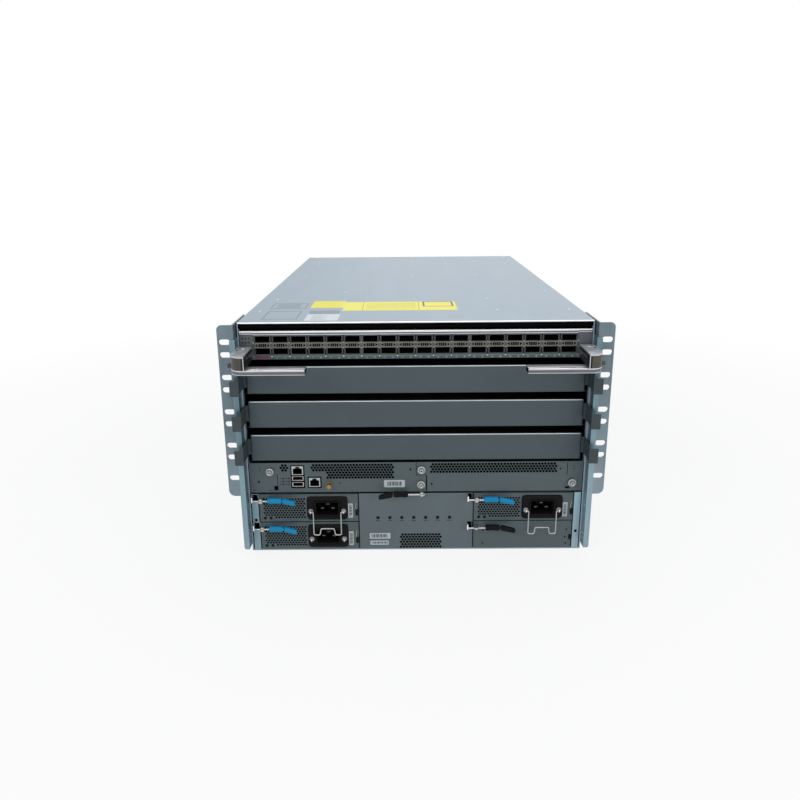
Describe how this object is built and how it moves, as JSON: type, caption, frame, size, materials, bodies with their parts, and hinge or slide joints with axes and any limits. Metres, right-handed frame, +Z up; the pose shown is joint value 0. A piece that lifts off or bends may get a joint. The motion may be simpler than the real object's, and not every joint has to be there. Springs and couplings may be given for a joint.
{
  "type": "modular network chassis switch",
  "caption": "Rack-mounted modular network switch chassis with a ported line card, slot blanks, supervisor modules, power modules with swinging levers, and rear fan trays.",
  "frame": {"origin": "middle of the chassis's underside, midway between its front plane and its rear edge", "axes": "+X right seen from the front, +Y towards the back, +Z up"},
  "size_m": [0.4826, 0.808, 0.3099],
  "materials": {
    "cover_paint": "satin",
    "shell_paint": "satin",
    "zinc_plate": "satin",
    "blank_paint": "satin",
    "panel_paint": "satin",
    "bare_steel": "satin",
    "cast_handle": "satin",
    "blue_grip": "satin",
    "black_grip": "satin",
    "inlet_plastic": "satin",
    "circuit_board": "satin",
    "cooler_metal": "satin",
    "power_case": "satin",
    "lamp_lens": "gloss",
    "fan_plastic": "satin"
  },
  "bodies": {
    "chassis": {"chassis_shell": "shell_paint", "top_cover": "cover_paint", "front_column_left": "zinc_plate", "front_column_right": "zinc_plate", "rack_bracket_left": "zinc_plate", "rack_bracket_right": "zinc_plate", "card_guides": "zinc_plate", "slot_shelf": "zinc_plate", "supervisor_shelf": "zinc_plate", "bay_partitions": "zinc_plate", "bay_posts": "zinc_plate", "centre_panel": "panel_paint", "panel_lamps": "lamp_lens", "service_board": "circuit_board", "fabric_modules": "circuit_board", "rear_frame": "zinc_plate", "rear_shelf": "zinc_plate", "power_2_case": "power_case", "power_2_inlet": "inlet_plastic", "power_blank": "panel_paint"},
    "line_card": {"line_card_face": "bare_steel", "line_card_end_caps": "bare_steel", "line_card_cages": "bare_steel", "line_card_tray": "bare_steel", "line_card_board": "circuit_board", "line_card_coolers": "cooler_metal"},
    "ejector_left": {"ejector_left": "cast_handle"},
    "ejector_right": {"ejector_right": "cast_handle"},
    "slot_blank_2": {"slot_blank_2": "blank_paint"},
    "slot_blank_3": {"slot_blank_3": "blank_paint"},
    "slot_blank_4": {"slot_blank_4": "blank_paint"},
    "supervisor": {"supervisor_case": "panel_paint", "supervisor_board": "circuit_board", "supervisor_ports": "bare_steel", "supervisor_screws": "bare_steel"},
    "supervisor_lever": {"supervisor_lever": "black_grip"},
    "supervisor_blank": {"supervisor_blank": "panel_paint", "supervisor_blank_screws": "bare_steel"},
    "power_1": {"power_1_case": "power_case", "power_1_inlet": "inlet_plastic"},
    "power_1_lever": {"power_1_lever": "blue_grip"},
    "power_1_bail": {"power_1_bail": "bare_steel"},
    "power_2_lever": {"power_2_lever": "blue_grip"},
    "power_3": {"power_3_case": "power_case", "power_3_inlet": "inlet_plastic"},
    "power_3_lever": {"power_3_lever": "blue_grip"},
    "power_3_bail": {"power_3_bail": "bare_steel"},
    "power_blank_lever": {"power_blank_lever": "black_grip"},
    "fan_tray_1": {"fan_tray_1": "zinc_plate"},
    "fan_1_lower": {"fan_1_lower": "fan_plastic"},
    "fan_1_upper": {"fan_1_upper": "fan_plastic"},
    "fan_tray_2": {"fan_tray_2": "zinc_plate"},
    "fan_2_lower": {"fan_2_lower": "fan_plastic"},
    "fan_2_upper": {"fan_2_upper": "fan_plastic"},
    "fan_tray_3": {"fan_tray_3": "zinc_plate"},
    "fan_3_lower": {"fan_3_lower": "fan_plastic"},
    "fan_3_upper": {"fan_3_upper": "fan_plastic"},
    "system_controller_1": {"system_controller_1": "zinc_plate"},
    "system_controller_2": {"system_controller_2": "zinc_plate"}
  },
  "joints": [
    {"name": "line_card_slide", "type": "slide", "parent": "chassis", "child": "line_card", "axis": [0, -1, 0], "range_m": [0, 0.43]},
    {"name": "ejector_left_hinge", "type": "hinge", "parent": "line_card", "child": "ejector_left", "pos_m": [-0.2112, -0.409, 0.27158], "axis": [0, 0, -1], "range_deg": [0, 60]},
    {"name": "ejector_right_hinge", "type": "hinge", "parent": "line_card", "child": "ejector_right", "pos_m": [0.2112, -0.409, 0.27158], "axis": [0, 0, 1], "range_deg": [0, 60]},
    {"name": "slot_blank_2_slide", "type": "slide", "parent": "chassis", "child": "slot_blank_2", "axis": [0, -1, 0], "range_m": [0, 0.065]},
    {"name": "slot_blank_3_slide", "type": "slide", "parent": "chassis", "child": "slot_blank_3", "axis": [0, -1, 0], "range_m": [0, 0.065]},
    {"name": "slot_blank_4_slide", "type": "slide", "parent": "chassis", "child": "slot_blank_4", "axis": [0, -1, 0], "range_m": [0, 0.065]},
    {"name": "supervisor_slide", "type": "slide", "parent": "chassis", "child": "supervisor", "axis": [0, -1, 0], "range_m": [0, 0.32]},
    {"name": "supervisor_lever_hinge", "type": "hinge", "parent": "supervisor", "child": "supervisor_lever", "pos_m": [0.0077, -0.3818, 0.08305], "axis": [0, 0, 1], "range_deg": [0, 45]},
    {"name": "supervisor_blank_slide", "type": "slide", "parent": "chassis", "child": "supervisor_blank", "axis": [0, -1, 0], "range_m": [0, 0.082]},
    {"name": "power_1_slide", "type": "slide", "parent": "chassis", "child": "power_1", "axis": [0, -1, 0], "range_m": [0, 0.32]},
    {"name": "power_3_slide", "type": "slide", "parent": "chassis", "child": "power_3", "axis": [0, -1, 0], "range_m": [0, 0.32]},
    {"name": "power_1_lever_hinge", "type": "hinge", "parent": "power_1", "child": "power_1_lever", "pos_m": [-0.2035, -0.3818, 0.0749], "axis": [0, 0, -1], "range_deg": [0, 45]},
    {"name": "power_2_lever_hinge", "type": "hinge", "parent": "chassis", "child": "power_2_lever", "pos_m": [-0.2035, -0.3818, 0.0345], "axis": [0, 0, -1], "range_deg": [0, 45]},
    {"name": "power_3_lever_hinge", "type": "hinge", "parent": "power_3", "child": "power_3_lever", "pos_m": [0.0795, -0.3818, 0.0749], "axis": [0, 0, -1], "range_deg": [0, 45]},
    {"name": "power_blank_lever_hinge", "type": "hinge", "parent": "chassis", "child": "power_blank_lever", "pos_m": [0.0795, -0.3818, 0.0345], "axis": [0, 0, -1], "range_deg": [0, 45]},
    {"name": "power_1_bail_hinge", "type": "hinge", "parent": "power_1", "child": "power_1_bail", "pos_m": [-0.117, -0.382, 0.05854], "axis": [-1, 0, 0], "range_deg": [0, 150]},
    {"name": "power_3_bail_hinge", "type": "hinge", "parent": "power_3", "child": "power_3_bail", "pos_m": [0.166, -0.382, 0.05854], "axis": [-1, 0, 0], "range_deg": [0, 150]},
    {"name": "fan_tray_1_slide", "type": "slide", "parent": "chassis", "child": "fan_tray_1", "axis": [0, 1, 0], "range_m": [0, 0.115]},
    {"name": "fan_1_lower_spin", "type": "hinge", "parent": "fan_tray_1", "child": "fan_1_lower", "pos_m": [-0.1454, 0.28, 0.1449], "axis": [0, 1, 0], "continuous": true},
    {"name": "fan_1_upper_spin", "type": "hinge", "parent": "fan_tray_1", "child": "fan_1_upper", "pos_m": [-0.1454, 0.28, 0.2456], "axis": [0, 1, 0], "continuous": true},
    {"name": "fan_tray_2_slide", "type": "slide", "parent": "chassis", "child": "fan_tray_2", "axis": [0, 1, 0], "range_m": [0, 0.115]},
    {"name": "fan_2_lower_spin", "type": "hinge", "parent": "fan_tray_2", "child": "fan_2_lower", "pos_m": [0, 0.28, 0.1449], "axis": [0, 1, 0], "continuous": true},
    {"name": "fan_2_upper_spin", "type": "hinge", "parent": "fan_tray_2", "child": "fan_2_upper", "pos_m": [0, 0.28, 0.2456], "axis": [0, 1, 0], "continuous": true},
    {"name": "fan_tray_3_slide", "type": "slide", "parent": "chassis", "child": "fan_tray_3", "axis": [0, 1, 0], "range_m": [0, 0.115]},
    {"name": "fan_3_lower_spin", "type": "hinge", "parent": "fan_tray_3", "child": "fan_3_lower", "pos_m": [0.1454, 0.28, 0.1449], "axis": [0, 1, 0], "continuous": true},
    {"name": "fan_3_upper_spin", "type": "hinge", "parent": "fan_tray_3", "child": "fan_3_upper", "pos_m": [0.1454, 0.28, 0.2456], "axis": [0, 1, 0], "continuous": true},
    {"name": "system_controller_1_slide", "type": "slide", "parent": "chassis", "child": "system_controller_1", "axis": [0, 1, 0], "range_m": [0, 0.195]},
    {"name": "system_controller_2_slide", "type": "slide", "parent": "chassis", "child": "system_controller_2", "axis": [0, 1, 0], "range_m": [0, 0.195]}
  ]
}
